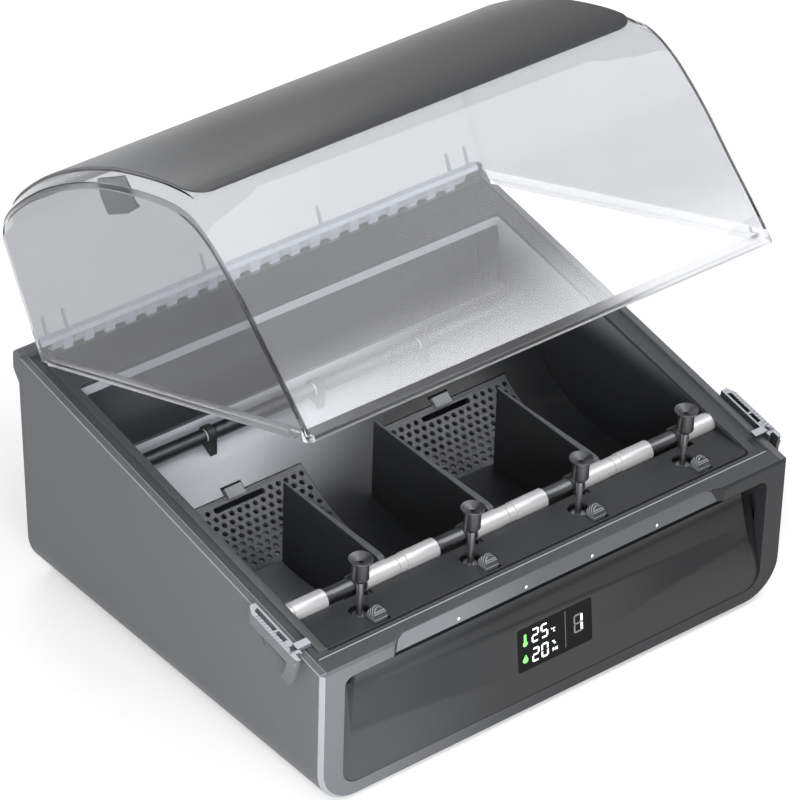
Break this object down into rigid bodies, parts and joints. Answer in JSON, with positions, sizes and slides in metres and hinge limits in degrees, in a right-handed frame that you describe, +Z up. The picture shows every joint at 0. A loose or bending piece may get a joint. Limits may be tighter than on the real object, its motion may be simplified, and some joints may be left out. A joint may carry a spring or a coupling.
{
  "type": "filament storage box",
  "caption": "Wedge-shaped desktop filament box with reel bays on driven rollers, metal feed inlets, drying compartments, a small display and a clear hinged hood.",
  "frame": {"origin": "x and y: the middle of the housing; y = 0 is halfway between the front face and the back of the rim. z = 0 is the surface that the feet stand on, 2 mm below the housing underside", "axes": "+X to the right seen from the front, +Y to the rear, +Z up"},
  "size_m": [0.3844, 0.3296, 0.3535],
  "materials": {
    "board": "solder mask",
    "bush": "satin",
    "catch_grey": "satin",
    "clear": "clear",
    "display": "gloss",
    "feet": "matte",
    "fitting_black": "matte",
    "front_panel": "satin",
    "funnel": "turned",
    "gear": "satin",
    "hinge": "clear",
    "housing": "fine matte",
    "inner_dark": "matte",
    "led": "clear",
    "lever_black": "ribbed",
    "motor": "satin",
    "pack": "paper",
    "rear_roller": "dark anodised",
    "rim": "satin",
    "sleeve": "smooth",
    "steel": "ground",
    "top_panel": "satin",
    "tub": "satin"
  },
  "bodies": {
    "housing": {"housing_shell": "housing", "rear_panel": "housing", "front_frame": "housing", "front_panel": "front_panel", "display_window": "display", "display_board": "board", "led_lenses": "led", "rim_frame": "rim", "tub": "tub", "deck": "inner_dark", "divider_left": "inner_dark", "divider_centre": "inner_dark", "divider_right": "inner_dark", "desiccant_packs": "pack", "front_shaft": "steel", "separators": "sleeve", "rear_shaft": "steel", "rear_brackets": "inner_dark", "rear_bushes": "bush", "inlet_funnels": "funnel", "inlet_tubes": "steel", "feeder_cases": "fitting_black", "feeder_motors": "motor", "main_board": "board", "hinge_pin": "steel", "feet": "feet", "case_screws": "steel", "tube_fittings": "fitting_black", "cable_ports": "fitting_black"},
    "hood": {"hood": "clear", "hood_top_panel": "top_panel", "hinge_bar": "hinge"},
    "catch_left": {"catch_left": "catch_grey"},
    "catch_right": {"catch_right": "lever_black"},
    "cover_left": {"cover_left": "tub"},
    "cover_right": {"cover_right": "tub"},
    "front_roller_1": {"roller_tube_1": "steel", "roller_gear_1": "gear", "roller_sleeves_1": "sleeve"},
    "drive_pinion_1": {"drive_pinion_1": "gear"},
    "rear_roller_1": {"rear_roller_1": "rear_roller"},
    "release_lever_1": {"release_lever_1": "lever_black"},
    "front_roller_2": {"roller_tube_2": "steel", "roller_gear_2": "gear", "roller_sleeves_2": "sleeve"},
    "drive_pinion_2": {"drive_pinion_2": "gear"},
    "rear_roller_2": {"rear_roller_2": "rear_roller"},
    "release_lever_2": {"release_lever_2": "lever_black"},
    "front_roller_3": {"roller_tube_3": "steel", "roller_gear_3": "gear", "roller_sleeves_3": "sleeve"},
    "drive_pinion_3": {"drive_pinion_3": "gear"},
    "rear_roller_3": {"rear_roller_3": "rear_roller"},
    "release_lever_3": {"release_lever_3": "lever_black"},
    "front_roller_4": {"roller_tube_4": "steel", "roller_gear_4": "gear", "roller_sleeves_4": "sleeve"},
    "drive_pinion_4": {"drive_pinion_4": "gear"},
    "rear_roller_4": {"rear_roller_4": "rear_roller"},
    "release_lever_4": {"release_lever_4": "lever_black"}
  },
  "joints": [
    {"name": "hood_hinge", "type": "hinge", "parent": "housing", "child": "hood", "pos_m": [0, 0.146, 0.16426], "axis": [-1, 0, 0], "range_deg": [-30, 45]},
    {"name": "catch_left_slide", "type": "slide", "parent": "housing", "child": "catch_left", "axis": [0, 0.9813, 0.1925], "range_m": [0, 0.005]},
    {"name": "catch_right_slide", "type": "slide", "parent": "housing", "child": "catch_right", "axis": [0, 0.9813, 0.1925], "range_m": [0, 0.005]},
    {"name": "cover_left_hinge", "type": "hinge", "parent": "housing", "child": "cover_left", "pos_m": [-0.0827, 0.01517, 0.04444], "axis": [1, 0, 0], "range_deg": [0, 60]},
    {"name": "cover_right_hinge", "type": "hinge", "parent": "housing", "child": "cover_right", "pos_m": [0.0827, 0.01517, 0.04444], "axis": [1, 0, 0], "range_deg": [0, 60]},
    {"name": "front_roller_1_turn", "type": "hinge", "parent": "housing", "child": "front_roller_1", "pos_m": [-0.12675, -0.096, 0.1064], "axis": [1, 0, 0], "continuous": true},
    {"name": "front_roller_2_turn", "type": "hinge", "parent": "housing", "child": "front_roller_2", "pos_m": [-0.04225, -0.096, 0.1064], "axis": [1, 0, 0], "continuous": true},
    {"name": "front_roller_3_turn", "type": "hinge", "parent": "housing", "child": "front_roller_3", "pos_m": [0.04225, -0.096, 0.1064], "axis": [1, 0, 0], "continuous": true},
    {"name": "front_roller_4_turn", "type": "hinge", "parent": "housing", "child": "front_roller_4", "pos_m": [0.12675, -0.096, 0.1064], "axis": [1, 0, 0], "continuous": true},
    {"name": "drive_pinion_1_turn", "type": "hinge", "parent": "housing", "child": "drive_pinion_1", "pos_m": [-0.11425, -0.10087, 0.09724], "axis": [1, 0, 0], "continuous": true},
    {"name": "drive_pinion_2_turn", "type": "hinge", "parent": "housing", "child": "drive_pinion_2", "pos_m": [-0.02975, -0.10087, 0.09724], "axis": [1, 0, 0], "continuous": true},
    {"name": "drive_pinion_3_turn", "type": "hinge", "parent": "housing", "child": "drive_pinion_3", "pos_m": [0.05475, -0.10087, 0.09724], "axis": [1, 0, 0], "continuous": true},
    {"name": "drive_pinion_4_turn", "type": "hinge", "parent": "housing", "child": "drive_pinion_4", "pos_m": [0.13925, -0.10087, 0.09724], "axis": [1, 0, 0], "continuous": true},
    {"name": "rear_roller_1_turn", "type": "hinge", "parent": "housing", "child": "rear_roller_1", "pos_m": [-0.12675, 0.08897, 0.0975], "axis": [1, 0, 0], "continuous": true},
    {"name": "rear_roller_2_turn", "type": "hinge", "parent": "housing", "child": "rear_roller_2", "pos_m": [-0.04225, 0.08897, 0.0975], "axis": [1, 0, 0], "continuous": true},
    {"name": "rear_roller_3_turn", "type": "hinge", "parent": "housing", "child": "rear_roller_3", "pos_m": [0.04225, 0.08897, 0.0975], "axis": [1, 0, 0], "continuous": true},
    {"name": "rear_roller_4_turn", "type": "hinge", "parent": "housing", "child": "rear_roller_4", "pos_m": [0.12675, 0.08897, 0.0975], "axis": [1, 0, 0], "continuous": true},
    {"name": "release_lever_1_tilt", "type": "hinge", "parent": "housing", "child": "release_lever_1", "pos_m": [-0.122, -0.1262, 0.097], "axis": [1, 0, 0], "range_deg": [0, 8], "stiffness_Nm_per_rad": 0.05},
    {"name": "release_lever_2_tilt", "type": "hinge", "parent": "housing", "child": "release_lever_2", "pos_m": [-0.0375, -0.1262, 0.097], "axis": [1, 0, 0], "range_deg": [0, 8], "stiffness_Nm_per_rad": 0.05},
    {"name": "release_lever_3_tilt", "type": "hinge", "parent": "housing", "child": "release_lever_3", "pos_m": [0.047, -0.1262, 0.097], "axis": [1, 0, 0], "range_deg": [0, 8], "stiffness_Nm_per_rad": 0.05},
    {"name": "release_lever_4_tilt", "type": "hinge", "parent": "housing", "child": "release_lever_4", "pos_m": [0.1315, -0.1262, 0.097], "axis": [1, 0, 0], "range_deg": [0, 8], "stiffness_Nm_per_rad": 0.05}
  ],
  "couplings": [
    {"joint": "drive_pinion_1_turn", "follows": "front_roller_1_turn", "ratio": -1.5625},
    {"joint": "drive_pinion_2_turn", "follows": "front_roller_2_turn", "ratio": -1.5625},
    {"joint": "drive_pinion_3_turn", "follows": "front_roller_3_turn", "ratio": -1.5625},
    {"joint": "drive_pinion_4_turn", "follows": "front_roller_4_turn", "ratio": -1.5625}
  ]
}
